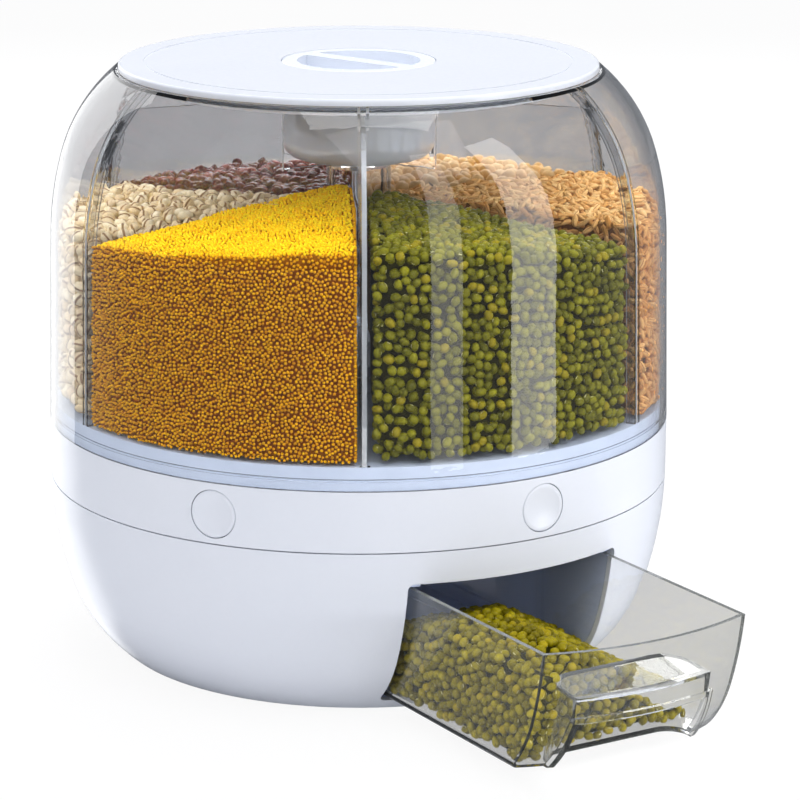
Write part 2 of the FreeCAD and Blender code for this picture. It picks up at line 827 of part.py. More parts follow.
def recess_roof_body(rise, mouth_top):
    """Revolved block under the recess roof, lifted by rise, which runs out to the front below mouth_top."""
    far = body_radius + recess_inset
    low = drawer_bottom - beyond
    curtain = bowl_radius(recess_mouth_top) - drawer_wall
    roof_front = recess_roof - recess_roof_fall
    crest = curtain - (roof_front - recess_mouth_top) * recess_slope
    back = body_radius - recess_inset + recess_height * recess_slope
    inner_edge = [(curtain, mouth_top)] if mouth_top < roof_front else []
    return spin_points([(0, low), (far, low), (far, mouth_top)] + inner_edge + [
        (crest, roof_front + rise), (back, recess_roof + rise), (0, recess_roof + rise)])


def finger_recess():
    """Cutter for the space that the fingers reach into from below and from the front."""
    return recess_block(0, drawer_bottom - beyond, recess_roof + beyond).common(recess_roof_body(0, recess_mouth_top))


def drawer_block(side, back, bottom):
    """Block of the drawer's width and length with rounded lower edges and back corners."""
    body = block(-back, body_radius + recess_inset, -side, side, bottom, drawer_top + beyond)
    upright = [e for e in body.Edges if e.BoundBox.YMin > back - weld and e.BoundBox.ZMin < drawer_top]
    lengthwise = [e for e in body.Edges if e.BoundBox.YLength > beyond and e.BoundBox.ZMax < drawer_top]
    return body, upright + lengthwise


def drawer_box():
    body, edges = drawer_block(drawer_half_width, drawer_back, drawer_bottom)
    outside = body.makeFillet(drawer_round, edges).common(bowl_body(0, foot_height))
    body, edges = drawer_block(drawer_half_width - drawer_wall, drawer_back - drawer_wall, drawer_bottom + drawer_wall)
    inside = body.makeFillet(drawer_round - drawer_wall / 2, edges).common(bowl_body(drawer_wall, foot_height))
    level = disc(2 * body_radius, drawer_top, lid_top)
    roof_top = recess_roof - recess_roof_fall + drawer_wall
    walls = recess_block(drawer_wall, drawer_bottom, recess_roof + drawer_wall + beyond)
    walls = walls.common(recess_roof_body(drawer_wall, roof_top)).common(outside)
    lip = bowl_body(-recess_lip_reach, drawer_bottom).cut(bowl_body(weld, foot_height))
    lip = lip.common(recess_block(recess_lip_width, drawer_bottom, recess_mouth_top + recess_lip_width))
    drawer = without(joined([outside.cut(inside), walls, lip]), [finger_recess(), level])
    return placed(drawer, drawer_pull)


os.makedirs("parts", exist_ok=True)
save("rubber_feet", rubber_feet())
save("centre_foot", centre_foot())
save("base_bowl", base_bowl())
save("drawer_bay", drawer_bay())
save("base_deck", base_deck())
save("deck_screws", deck_screws())
save("pivot_bolt", pivot_bolt())
save("pivot_washer", pivot_washer())
save("pivot_nut", pivot_nut())
save("bearing_balls", bearing_balls())
save("ball_cage", ball_cage())
save("turntable_ring", turntable_ring())
save("gate_guides", gate_guides())
sprung_pieces = {"button": button(), "gate": gate(), "return_spring": return_spring()}
for name, piece in sprung_pieces.items():
    for number, copy in enumerate(around(piece, button_lead), 1):
        save("%s_%d" % (name, number), copy)
save("hopper_floor", hopper_floor())
save("hopper_screws", hopper_screws())
save("tank_shell", tank_shell())
save("cell_divider", cell_divider())
save("lid_disc", lid_disc())
save("lid_seal", lid_seal())
save("moisture_cup", moisture_cup())
save("moisture_cap", moisture_cap())
save("desiccant_pack", desiccant_pack())
save("drawer_box", drawer_box())
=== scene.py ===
import json
import math

import bpy
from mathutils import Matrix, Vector, noise


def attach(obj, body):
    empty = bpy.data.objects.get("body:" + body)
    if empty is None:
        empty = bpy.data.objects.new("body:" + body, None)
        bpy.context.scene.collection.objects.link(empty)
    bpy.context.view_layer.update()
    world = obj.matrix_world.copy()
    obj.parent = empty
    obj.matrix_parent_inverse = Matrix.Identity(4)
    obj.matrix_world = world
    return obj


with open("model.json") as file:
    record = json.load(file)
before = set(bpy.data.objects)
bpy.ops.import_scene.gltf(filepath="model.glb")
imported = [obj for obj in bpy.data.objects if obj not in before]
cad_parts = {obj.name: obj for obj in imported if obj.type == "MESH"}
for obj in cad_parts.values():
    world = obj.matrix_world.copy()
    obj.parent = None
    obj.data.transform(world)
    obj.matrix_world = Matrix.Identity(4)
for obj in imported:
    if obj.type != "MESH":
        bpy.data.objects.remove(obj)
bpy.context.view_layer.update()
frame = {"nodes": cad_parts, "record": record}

# Sizes in metres, angles in degrees
camera_turn = -31.0
camera_tilt = 14.7
camera_place = (-0.8071, -1.3432, 0.5291)

hub_radius = 0.016
rib_half_width = 0.0026
floor_height = 0.1262
bend_height = 0.205
tank_foot_height = 0.1146
tank_foot_radius = 0.1479
tank_draft = 1.3
shoulder_radius = 0.1496
shoulder_middle = (-0.00371, 0.20154)
nominal_wall_radius = 0.1445
grain_gap = 0.0003
half_cell = 30.0
drawer_floor = 0.0103
drawer_rim = 0.06725
blade_edges_from = 0.06

# Shares and counts for the grain
cell_steps = (22, 20, 16)
ripples_per_metre = (40, 38)
lean_room = 0.45
lift_range = 0.22
crowding = 14.0

# Optics, with the lens in millimetres
lens_length = 148.32
lens_shift = 0.05175
plastic_ior = 1.47
scratch_roughness = 0.02
white_specular = 0.35
room_light = 0.63


# ---- Node trees

class Socket:
    """An output of a node that takes part in Python arithmetic."""

    def __init__(self, tree, output):
        self.tree = tree
        self.output = output

    def math(self, operation, *values):
        return self.tree.add("ShaderNodeMath", {"operation": operation}, dict(enumerate(values)))

    def __add__(self, other):
        return self.math("ADD", self, other)

    def __radd__(self, other):
        return self.math("ADD", other, self)

    def __sub__(self, other):
        return self.math("SUBTRACT", self, other)

    def __rsub__(self, other):
        return self.math("SUBTRACT", other, self)

    def __mul__(self, other):
        return self.math("MULTIPLY", self, other)

    def __rtruediv__(self, other):
        return self.math("DIVIDE", other, self)

    def __pow__(self, other):
        return self.math("POWER", self, other)

    def size(self):
        return self.math("ABSOLUTE", self)

    def above(self, limit, soft):
        """0 below the limit, 1 above it, with a smooth step of that width."""
        return self.tree.add("ShaderNodeMapRange", {"interpolation_type": "SMOOTHSTEP"},
                             {"Value": self, "From Min": limit - soft / 2, "From Max": limit + soft / 2})

    def clamped(self):
        return self.tree.add("ShaderNodeClamp", {}, {"Value": self})


class Tree:
    """A node tree, with one method that adds any node to it."""

    def __init__(self, tree):
        self.tree = tree
        tree.nodes.clear()

    def add(self, kind, settings=None, values=None, output=0):
        """Adds a node, sets its settings, then its sockets, and returns one of its outputs."""
        node = self.tree.nodes.new(kind)
        for key, value in (settings or {}).items():
            if key == "stops":
                ramp = node.color_ramp.elements
                while len(ramp) < len(value):
                    ramp.new(0.5)
                for stop, (place, colour) in zip(ramp, value):
                    stop.position = place
                    stop.color = colour
            else:
                setattr(node, key, value)
        for key, value in (values or {}).items():
            if isinstance(value, Socket):
                self.tree.links.new(value.output, node.inputs[key])
            else:
                node.inputs[key].default_value = value
        return Socket(self, node.outputs[output]) if node.outputs else None

    def apart(self, vector):
        """The three coordinates of a vector."""
        x = self.add("ShaderNodeSeparateXYZ", {}, {0: vector})
        return [Socket(self, o) for o in x.output.node.outputs]

    def blend(self, low, high, amount):
        """A colour between two others."""
        return self.add("ShaderNodeMix", {"data_type": "RGBA"}, {0: amount, 6: low, 7: high}, 2)

    def vector(self, operation, *values, output=0):
        return self.add("ShaderNodeVectorMath", {"operation": operation}, dict(enumerate(values)), output)


class Finish(Tree):
    """A material and the nodes that several materials share."""

    def __init__(self, name):
        self.material = bpy.data.materials.new(name)
        self.material.use_nodes = True
        super().__init__(self.material.node_tree)
        self.place = self.add("ShaderNodeTexCoord", {}, {}, "Object")

    def speckle(self, scale, detail=2.0):
        """Soft noise from 0 to 1 with that many waves to the metre."""
        return self.add("ShaderNodeTexNoise", {}, {"Vector": self.place, "Scale": scale, "Detail": detail})

    def bumps(self, height, distance, strength=1.0):
        return self.add("ShaderNodeBump", {}, {"Height": height, "Distance": distance, "Strength": strength})

    def principled(self, **values):
        names = {"base": "Base Color", "rough": "Roughness", "metal": "Metallic", "normal": "Normal",
                 "specular": "Specular IOR Level"}
        return self.add("ShaderNodeBsdfPrincipled", {}, {names[k]: v for k, v in values.items()})

    def show(self, shader):
        self.add("ShaderNodeOutputMaterial", {}, {"Surface": shader})
        return self.material


def paint(red, green, blue):
    """A colour given in 0 to 255 as it looks, in the shader's linear scale."""
    def linear(v):
        v /= 255
        return v / 12.92 if v <= 0.04045 else ((v + 0.055) / 1.055) ** 2.4
    return (linear(red), linear(green), linear(blue), 1.0)


# ---- Finishes

def moulded(name, colour, shade, rough, pitch=2400.0, depth=0.00002):
    """Opaque moulded plastic: faint clouding, a fine moulded grain and slightly uneven gloss."""
    f = Finish(name)
    cloud = f.speckle(16.0, 3.0)
    wear = f.speckle(420.0, 4.0)
    base = f.blend(colour, shade, cloud * 0.7 + wear * 0.3)
    return f.show(f.principled(base=base, rough=rough + wear * 0.08, specular=white_specular,
                               normal=f.bumps(f.speckle(pitch, 2.0), depth)))


def clear(name, colour, edge, rims=None, ends=False, milk=0.0):
    """Clear moulded plastic that bends the light. Where it is seen edge on, above the height rims and, with
    ends, on the blades' narrow outer faces, an opaque layer of the colour edge is mixed in: painted edge
    lines, dark or pale, that stand in for the lines refraction draws there. milk is the share of that layer
    everywhere."""
    f = Finish(name)
    facing = f.add("ShaderNodeLayerWeight", {}, {"Blend": 0.5}, "Facing")
    cloud = f.speckle(60.0, 3.0)
    scratches = f.speckle(900.0, 4.0)
    body = f.add("ShaderNodeBsdfPrincipled", {}, {
        "Base Color": f.blend(colour, (1, 1, 1, 1), cloud * 0.4), "Transmission Weight": 1.0,
        "IOR": plastic_ior, "Roughness": (scratches - 0.55) * scratch_roughness,
        "Normal": f.bumps(cloud, 0.0002, 0.3)})
    # The opaque layer in the colour edge: painted edge lines, and the milk
    solid = f.principled(base=f.blend(edge, colour, cloud * 0.2), rough=0.18 + scratches * 0.05)
    # Edge on, the opaque layer paints the edge lines that refraction draws at silhouettes
    painted_edges_and_milk = facing ** 8.0 * 0.65 + milk
    # Painted edge lines on the rims' top faces, standing in for refraction lines
    if rims:
        z = f.apart(f.place)[2]
        painted_edges_and_milk = painted_edges_and_milk + z.above(rims, 0.0004) * 0.4
    # Painted edge lines on the blades' narrow outer faces, standing in for refraction lines
    if ends:
        flat = f.vector("MULTIPLY", f.place, (1, 1, 0))
        reach = f.vector("LENGTH", flat, output="Value")
        normal = f.add("ShaderNodeNewGeometry", {}, {}, "Normal")
        outward = f.vector("DOT_PRODUCT", normal, f.vector("NORMALIZE", flat), output="Value")
        painted_edges_and_milk = painted_edges_and_milk + outward.above(0.8, 0.2) * reach.above(blade_edges_from, 0.002) * 0.5
    seen = f.add("ShaderNodeMixShader", {}, {0: painted_edges_and_milk.clamped(), 1: body, 2: solid})
    casting = f.add("ShaderNodeLightPath", {}, {}, "Is Shadow Ray")
    cast = f.add("ShaderNodeBsdfTransparent", {}, {"Color": (0.97, 0.975, 0.98, 1)})
    return f.show(f.add("ShaderNodeMixShader", {}, {0: casting, 1: seen, 2: cast}))


def grain_finish(name, dark, light, marks, rough, eye=None, crease=0.0, lit=None, shine=0.03, odd=None):
    """Skin of a seed. The mesh brings each seed's tint and each point's place on its seed. marks colours
    the eye and the crease, whose half width is a share of the seed's. lit replaces dark and light on a heap's
    top with lighter colours: painted light, as the top is where the light falls. About one seed in seven of
    the outer layer leans towards the colour odd."""
    f = Finish(name)
    tint = f.add("ShaderNodeAttribute", {"attribute_name": "tint"}, {}, "Fac")
    seat = f.add("ShaderNodeAttribute", {"attribute_name": "seat"}, {}, "Vector")
    top = f.add("ShaderNodeAttribute", {"attribute_name": "top"}, {}, "Fac")
    x, y, z = f.apart(seat)
    skin = f.speckle(1400.0, 3.0)
    # Painted light: lighter colours on a heap's top, by the mesh's top share
    if lit:
        dark = f.blend(dark, lit[0], top)
        light = f.blend(light, lit[1], top)
    base = f.blend(dark, light, (tint * 0.75 + skin * 0.5 - 0.12).clamped())
    if odd:
        base = f.blend(base, odd, tint.above(0.86, 0.06) * 0.4)
    if crease:
        line = 1 - y.size().above(crease * 0.7, crease * 0.6)
        base = f.blend(base, marks, line * z.above(0.0, 0.6) * 0.85)
    if eye:
        spot = (1 - x.size().above(eye[0], 0.08)) * (1 - z.size().above(eye[1], 0.06))
        base = f.blend(base, marks, spot * y.above(0.5, 0.2))
    return f.show(f.principled(base=base, rough=rough + skin * 0.15, specular=shine,
                               normal=f.bumps(f.speckle(2600.0, 2.0), 0.00008)))


def metal_finish():
    f = Finish("zinc_plated_steel")
    drawn = f.speckle(900.0, 4.0)
    base = f.blend(paint(150, 152, 156), paint(196, 197, 200), drawn)
    return f.show(f.principled(base=base, metal=1.0, rough=0.26 + drawn * 0.2,
                               normal=f.bumps(drawn, 0.00003)))


def cloth_finish():
    """Grey non-woven cover: pressed fibres and a grid of small weld points."""
    f = Finish("grey_nonwoven")
    fibres = f.speckle(700.0, 5.0)
    across, along = [(side * 900.0).math("SINE", side * 900.0) for side in f.apart(f.place)[:2]]
    points = (across * along).above(0.55, 0.4)
    base = f.blend(paint(196, 199, 206), paint(236, 239, 246), fibres)
    base = f.blend(base, paint(96, 99, 106), points * 0.7)
    return f.show(f.principled(base=base, rough=0.85, normal=f.bumps(fibres - points, 0.0002)))


finishes = {
    "white_plastic": moulded("white_gloss", paint(229, 232, 240), paint(222, 226, 235), 0.2),
    "cap_plastic": moulded("cap_white_gloss", paint(238, 242, 250), paint(231, 236, 246), 0.22),
    "bay_plastic": moulded("bay_satin", paint(204, 215, 240), paint(194, 206, 236), 0.38, 1500.0, 0.00004),
    "inner_plastic": moulded("inner_satin", paint(210, 221, 241), paint(202, 214, 236), 0.34, 1500.0,
                             0.00004),
    # The edge colours are painted edge lines that stand in for refraction: dark on the tank, mid grey on the
    # drawer
    "clear_plastic": clear("clear_tank", (0.82, 0.825, 0.835, 1), paint(96, 100, 108)),
    "drawer_plastic": clear("clear_drawer", (0.99, 0.99, 0.98, 1), paint(168, 172, 170), rims=drawer_rim,
                            milk=0.02),
    "rubber_parts": moulded("soft_rubber", paint(206, 210, 214), paint(192, 196, 202), 0.62, 900.0, 0.00008),
    "steel_parts": metal_finish(),
    "pack_cover": cloth_finish(),
}
for part in frame["record"]["subparts"]:
    for slot in frame["nodes"][part["node"]].material_slots:
        slot.material = finishes[part["material_slot"]]
own_finishes = {
    # Pale painted edge lines on the divider and the cup; the cup's edge colour is also its milk's colour
    "cell_divider": clear("clear_divider", (0.85, 0.855, 0.865, 1), paint(206, 210, 216), ends=True),
    "moisture_cup": clear("clear_cup", (0.96, 0.965, 0.975, 1), paint(222, 226, 234), milk=0.34),
}
for node, finish in own_finishes.items():
    for slot in frame["nodes"][node].material_slots:
        slot.material = finish


# ---- Seeds

def seed_tree(name):
    """Geometry tree that lays seeds on the faces marked as skin: an outer layer that stands off the core by
    up to half a seed's thickness, and a darker one bedded in the core, whose darkness is painted shade in the
    gaps between the outer seeds."""
    group = bpy.data.node_groups.new(name, "GeometryNodeTree")
    t = Tree(group)
    face = group.interface
    face.new_socket("Geometry", in_out="INPUT", socket_type="NodeSocketGeometry")
    for label, kind in (("Length", "Float"), ("Width", "Float"), ("Thickness", "Float"), ("Bend", "Float"),
                        ("Spacing", "Float"), ("Second Spacing", "Float"), ("Tilt", "Float"),
                        ("Sides", "Int"), ("Rings", "Int"), ("Seed", "Int"), ("Skin", "Material"),
                        ("Core", "Material")):
        face.new_socket(label, in_out="INPUT", socket_type="NodeSocket" + kind)
    face.new_socket("Geometry", in_out="OUTPUT", socket_type="NodeSocketGeometry")
    given = group.nodes.new("NodeGroupInput")
    get = {o.name: Socket(t, o) for o in given.outputs if o.name}

    ball = t.add("GeometryNodeMeshUVSphere", {}, {"Segments": get["Sides"], "Rings": get["Rings"]})
    ball = t.add("GeometryNodeSetShadeSmooth", {}, {"Geometry": ball})
    at = t.add("GeometryNodeInputPosition")
    ball = t.add("GeometryNodeStoreNamedAttribute", {"data_type": "FLOAT_VECTOR"},
                 {"Geometry": ball, "Name": "seat", "Value": at})
    half = t.add("ShaderNodeCombineXYZ", {}, {0: get["Length"] * 0.5, 1: get["Width"] * 0.5,
                                              2: get["Thickness"] * 0.5})
    x = t.apart(at)[0]
    bow = t.add("ShaderNodeCombineXYZ", {}, {1: x * x * get["Bend"] - get["Bend"] * 0.4})
    shaped = t.vector("MULTIPLY", t.vector("ADD", at, bow), half)
    ball = t.add("GeometryNodeSetPosition", {}, {"Geometry": ball, "Position": shaped})

    marked = t.add("GeometryNodeInputNamedAttribute", {"data_type": "BOOLEAN"}, {"Name": "skin"})
    layers = []
    # The bedded layer's tints reach only 0.4 of the outer's: painted shade deep in the gaps
    for lift, spacing, brightest, step in ((0.5, "Spacing", 1.0, 0), (0.06, "Second Spacing", 0.4, 50)):
        spread = t.add("GeometryNodeDistributePointsOnFaces", {"distribute_method": "POISSON"},
                       {"Mesh": get["Geometry"], "Selection": marked, "Distance Min": get[spacing],
                        "Density Max": crowding / (get[spacing] * get[spacing]), "Seed": get["Seed"] + step})
        outputs = spread.output.node.outputs
        normal, turn = Socket(t, outputs["Normal"]), Socket(t, outputs["Rotation"])
        wander = t.add("FunctionNodeRandomValue", {"data_type": "FLOAT"},
                       {"Min": lift - lift_range, "Max": lift, "Seed": get["Seed"] + step + 1}, "Value")
        wander = Socket(t, [o for o in wander.output.node.outputs if o.enabled][0])
        moved = t.add("ShaderNodeVectorMath", {"operation": "SCALE"},
                      {0: normal, "Scale": wander * get["Thickness"]})
        points = t.add("GeometryNodeSetPosition", {}, {"Geometry": spread, "Offset": moved})
        lean = t.add("ShaderNodeCombineXYZ", {}, {0: get["Tilt"], 1: get["Tilt"], 2: math.pi})
        swing = t.add("FunctionNodeRandomValue", {"data_type": "FLOAT_VECTOR"},
                      {0: t.vector("MULTIPLY", lean, (-1, -1, -1)), 1: lean,
                       "Seed": get["Seed"] + step + 2})
        swing = t.add("FunctionNodeEulerToRotation", {}, {0: swing})
        turn = t.add("FunctionNodeRotateRotation", {"rotation_space": "LOCAL"}, {0: turn, 1: swing})
        size = t.add("FunctionNodeRandomValue", {"data_type": "FLOAT_VECTOR"},
                     {0: (0.88, 0.88, 0.88), 1: (1.1, 1.1, 1.08), "Seed": get["Seed"] + step + 3})
        seeds = t.add("GeometryNodeInstanceOnPoints", {}, {"Points": points, "Instance": ball,
                                                           "Rotation": turn, "Scale": size})
        tint = t.add("FunctionNodeRandomValue", {"data_type": "FLOAT"},
                     {"Min": 0.0, "Max": brightest, "Seed": get["Seed"] + step + 4}, "Value")
        tint = Socket(t, [o for o in tint.output.node.outputs if o.enabled][0])
        layers.append(t.add("GeometryNodeStoreNamedAttribute", {"data_type": "FLOAT", "domain": "INSTANCE"},
                            {"Geometry": seeds, "Name": "tint", "Value": tint}))
    both = group.nodes.new("GeometryNodeJoinGeometry")
    for layer in layers:
        group.links.new(layer.output, both.inputs[0])
    loose = t.add("GeometryNodeRealizeInstances", {}, {"Geometry": Socket(t, both.outputs[0])})
    loose = t.add("GeometryNodeSetMaterial", {}, {"Geometry": loose, "Material": get["Skin"]})
    core = t.add("GeometryNodeSetMaterial", {}, {"Geometry": get["Geometry"], "Material": get["Core"]})
    whole = group.nodes.new("GeometryNodeJoinGeometry")
    for piece in (loose, core):
        group.links.new(piece.output, whole.inputs[0])
    out = group.nodes.new("NodeGroupOutput")
    group.links.new(whole.outputs[0], out.inputs[0])
    return group


def plain_mesh(thing, name):
    """The evaluated object as a plain mesh object of its own."""
    evaluated = thing.evaluated_get(bpy.context.evaluated_depsgraph_get())
    mesh = bpy.data.meshes.new_from_object(evaluated)
    mesh.name = name
    bpy.data.objects.remove(thing)
    result = bpy.data.objects.new(name, mesh)
    bpy.context.scene.collection.objects.link(result)
    return result


def box_grid(steps, place, marked):
    """A closed body of a box's six gridded faces. place gives the point of three shares from 0 to 1, and
    marked says which faces carry seeds, and how much each faces up, the share of painted top light that the
    seeds' finish gives them."""
    points, index, faces, skin, top = [], {}, [], [], []

    def point(i, j, k):
        key = (i, j, k)
        if key not in index:
            index[key] = len(points)
            points.append(place(i / steps[0], j / steps[1], k / steps[2]))
        return index[key]

    for axis in range(3):
        a, b = [n for n in range(3) if n != axis]
        for end in (0, steps[axis]):
            for i in range(steps[a]):
                for j in range(steps[b]):
                    corners = []
                    for di, dj in ((0, 0), (1, 0), (1, 1), (0, 1)):
                        c = [0, 0, 0]
                        c[axis], c[a], c[b] = end, i + di, j + dj
                        corners.append(point(*c))
                    flip = (end == 0) != (axis == 1)
                    faces.append(corners[::-1] if flip else corners)
                    carries, up = marked(axis, end > 0, i, j)
                    skin.append(carries)
                    top.append(up)
    return points, faces, skin, top


def seeded_body(name, grid, kind):
    """Builds the core from the grid, lays the seeds on it and returns one plain mesh object."""
    points, faces, skin, top = grid
    mesh = bpy.data.meshes.new(name + "_core")
    mesh.from_pydata(points, [], faces)
    mesh.update()
    mesh.attributes.new("skin", "BOOLEAN", "FACE").data.foreach_set("value", skin)
    # top sets how much painted top light the seeds' finish gives each face's seeds
    mesh.attributes.new("top", "FLOAT", "FACE").data.foreach_set("value", top)
    for polygon in mesh.polygons:
        polygon.use_smooth = True
    core = bpy.data.objects.new(name + "_core", mesh)
    bpy.context.scene.collection.objects.link(core)
    modifier = core.modifiers.new("seeds", "NODES")
    modifier.node_group = seeds_tree
    for item in seeds_tree.interface.items_tree:
        if item.in_out == "INPUT" and item.name in kind:
            modifier[item.identifier] = kind[item.name]
    return plain_mesh(core, name)


seeds_tree = seed_tree("seed_layers")


def seed(length, width, thickness, spacing, second, tilt, sides, rings, number, skin, core, bend=0.0):
    """A kind of seed: its sizes and the spacings of its two layers in millimetres, how far it tilts in
    radians, its mesh's sides and rings, and the number that fixes its random draws."""
    return {"Length": length / 1000, "Width": width / 1000, "Thickness": thickness / 1000, "Bend": bend,
            "Spacing": spacing / 1000, "Second Spacing": second / 1000, "Tilt": tilt, "Sides": sides,
            "Rings": rings, "Seed": number, "Skin": skin, "Core": core}


def inside_radius(height):
    """Inner radius of the tank's wall."""
    if height <= bend_height:
        return tank_foot_radius - (height - tank_foot_height) * math.tan(math.radians(tank_draft))
    return shoulder_middle[0] + math.sqrt(shoulder_radius ** 2 - (height - shoulder_middle[1]) ** 2)


def filled_cell(name, turn, left, right, middle, waves, kind):
    """A cell's grain with its height at the wall by the left and the right blade, and at the hub. The core
    keeps clear of the wall and the blades by the room that its outer seeds take."""
    thick = kind["Thickness"]
    side = max(thick, kind["Length"] * lean_room)
    blade = rib_half_width + grain_gap + side
    near = max(hub_radius + grain_gap, 2 * blade + 0.001)
    round_ripples, outward_ripples = ripples_per_metre

    def place(u, v, w):
        reach = near + (nominal_wall_radius - near) * v
        share = 2 * u - 1
        level = right + (left - right) * (share + 1) / 2
        top = level - thick + (middle - level) * (1 - v)
        spot = Vector((reach * math.sin(-share) * round_ripples, reach * outward_ripples, turn))
        top += waves * noise.noise(spot)
        height = floor_height + side + (top - floor_height - side) * w
        wall = inside_radius(height + thick) - grain_gap - thick
        reach = near + (wall - near) * v
        edge = math.radians(half_cell) - math.asin(blade / reach)
        angle = math.radians(turn) - share * edge
        return (reach * math.sin(angle), -reach * math.cos(angle), height)

    def marked(axis, far, i, j):
        # axis 0: the sides by the blades, axis 1: hub and wall, axis 2: floor and top
        if axis == 0:
            return j >= cell_steps[2] - 2 or i == cell_steps[1] - 1, 0.0
        return far, float(axis == 2)

    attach(seeded_body(name, box_grid(cell_steps, place, marked), kind), "turntable")


# Each kind's core finish is darker than its seeds: painted shade that shows in the gaps between them
mung_core = grain_finish("mung_core", paint(38, 36, 6), paint(58, 56, 12), paint(38, 36, 6), 0.7)
mung = seed(5.3, 4.3, 4.1, 3.8, 4.4, 0.45, 8, 5, 11,
            grain_finish("mung_skin", paint(74, 74, 2), paint(146, 142, 14), paint(226, 220, 170), 0.2,
                         eye=(0.3, 0.08), shine=0.22, odd=paint(150, 122, 12)), mung_core)
# The lit colours of millet and oats are painted light on the heaps' tops
millet = seed(1.7, 1.65, 1.6, 1.45, 12.0, 0.6, 5, 3, 21,
              grain_finish("millet_skin", paint(200, 130, 2), paint(250, 190, 12), paint(120, 70, 8), 0.4,
                           lit=(paint(255, 186, 0), paint(255, 230, 30)), shine=0.02),
              grain_finish("millet_core", paint(120, 64, 0), paint(150, 88, 2), paint(90, 50, 8), 0.7,
                           lit=(paint(168, 104, 0), paint(190, 124, 2)), shine=0.0))
oats = seed(7.2, 2.7, 2.1, 3.6, 3.8, 0.55, 8, 5, 31,
            grain_finish("oat_skin", paint(204, 136, 62), paint(250, 200, 128), paint(150, 92, 44), 0.5,
                         crease=0.16, lit=(paint(228, 166, 90), paint(255, 220, 156)), shine=0.03),
            grain_finish("oat_core", paint(120, 74, 34), paint(154, 100, 52), paint(90, 54, 26), 0.7))
soy = seed(8.0, 7.2, 6.8, 6.9, 6.6, 0.6, 10, 6, 41,
           grain_finish("soy_skin", paint(228, 176, 102), paint(252, 216, 156), paint(120, 84, 48), 0.3,
                        eye=(0.3, 0.1), shine=0.3),
           grain_finish("soy_core", paint(110, 80, 44), paint(140, 106, 60), paint(90, 60, 34), 0.7))
kidney = seed(8.4, 5.8, 5.2, 5.6, 5.8, 0.6, 8, 6, 51,
              grain_finish("kidney_skin", paint(76, 14, 18), paint(138, 38, 36), paint(214, 196, 180), 0.06,
                           eye=(0.2, 0.1), shine=1.0, odd=paint(170, 96, 80)),
              grain_finish("kidney_core", paint(24, 8, 8), paint(38, 12, 12), paint(24, 8, 8), 0.7), -0.32)
barley = seed(7.6, 5.8, 4.8, 5.6, 5.6, 0.6, 8, 6, 61,
              grain_finish("barley_skin", paint(236, 210, 164), paint(255, 246, 218), paint(128, 82, 44), 0.4,
                           crease=0.26, shine=0.2, odd=paint(206, 160, 104)),
              grain_finish("barley_core", paint(140, 118, 84), paint(172, 150, 112), paint(110, 90, 64), 0.7))

# Each cell's turn in degrees, its three heights and the depth of its waves
filled_cell("mung_beans", 0, 0.2255, 0.2135, 0.2275, 0.0022, mung)
filled_cell("oat_grains", 60, 0.2195, 0.2205, 0.2235, 0.0022, oats)
filled_cell("soy_beans", 120, 0.2195, 0.2195, 0.223, 0.003, soy)
filled_cell("kidney_beans", 180, 0.216, 0.216, 0.219, 0.003, kidney)
filled_cell("barley_grains", -120, 0.2175, 0.2165, 0.221, 0.003, barley)
filled_cell("millet_grains", -60, 0.2135, 0.2235, 0.229, 0.0016, millet)


# ---- Beans in the drawer

# Places in millimetres
drawer_pulled_out = 103
bowl_inside = 142.7
bowl_bulge = 0.0087
bulge_height = 53
front_gap = 0.6


def heap_height(x, y):
    """Height of the heap over the drawer's floor plane, in metres. It falls towards +X, the back and the
    front."""
    crest = 57 - max(0.0, (x + 16) * 0.55)
    back = 56 - max(0.0, (y + 150) * 0.34)
    front = 46 + max(0.0, (y + 213) * 0.8)
    height = min(crest, back, front, 60)
    return (height + 2.4 * noise.noise(Vector((x * 0.05, y * 0.05, 2.0)))) / 1000


def heap_height_beside(x, y):
    return (57 + 2 * noise.noise(Vector((x * 0.1, y * 0.1, 5.0)))) / 1000


def front_inside(x, height):
    """Inner face of the drawer's front, which follows the round bowl."""
    radius = bowl_inside - bowl_bulge * (height * 1000 - bulge_height) ** 2
    return -drawer_pulled_out - math.sqrt(radius * radius - x * x)


def heap(name, x0, x1, y0, y1, steps, height_at, kind, bare=()):
    """Beans between two sides and two ends. Without y0 they reach the drawer's front. bare lists the faces
    without seeds, each as an axis and whether it is the far face on it."""
    thick = kind["Thickness"]
    low = drawer_floor + kind["Width"] / 2
    inset = thick * 1000

    def place(u, v, w):
        x = x0 + inset + (x1 - x0 - 2 * inset) * u
        far = y1 - inset
        guess = far if y0 is None else y0 + inset + (far - y0 - inset) * v
        height = low + (height_at(x, guess) - thick - low) * w
        near = (front_inside(x, height) + front_gap if y0 is None else y0) + inset
        return (x / 1000, (near + (far - near) * v) / 1000, height)

    def marked(axis, far, i, j):
        return (axis, far) not in bare, 0.0

    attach(seeded_body(name, box_grid(steps, place, marked), kind), "drawer")


drawer_skin = grain_finish("drawer_mung_skin", paint(88, 80, 2), paint(168, 154, 16), paint(226, 220, 170),
                           0.2, eye=(0.3, 0.08), shine=0.16, odd=paint(158, 134, 16))
drawer_mung = seed(5.3, 4.3, 4.1, 4.2, 4.2, 0.45, 8, 5, 81, drawer_skin, mung_core)
heap("drawer_beans", -51.4, 51.4, -212.6, -83.4, (24, 30, 10), heap_height, drawer_mung, {(2, False)})
heap("drawer_beans_beside", -51.2, -39.0, None, -206.0, (3, 10, 12), heap_height_beside,
     dict(drawer_mung, Seed=91))


# ---- Studio

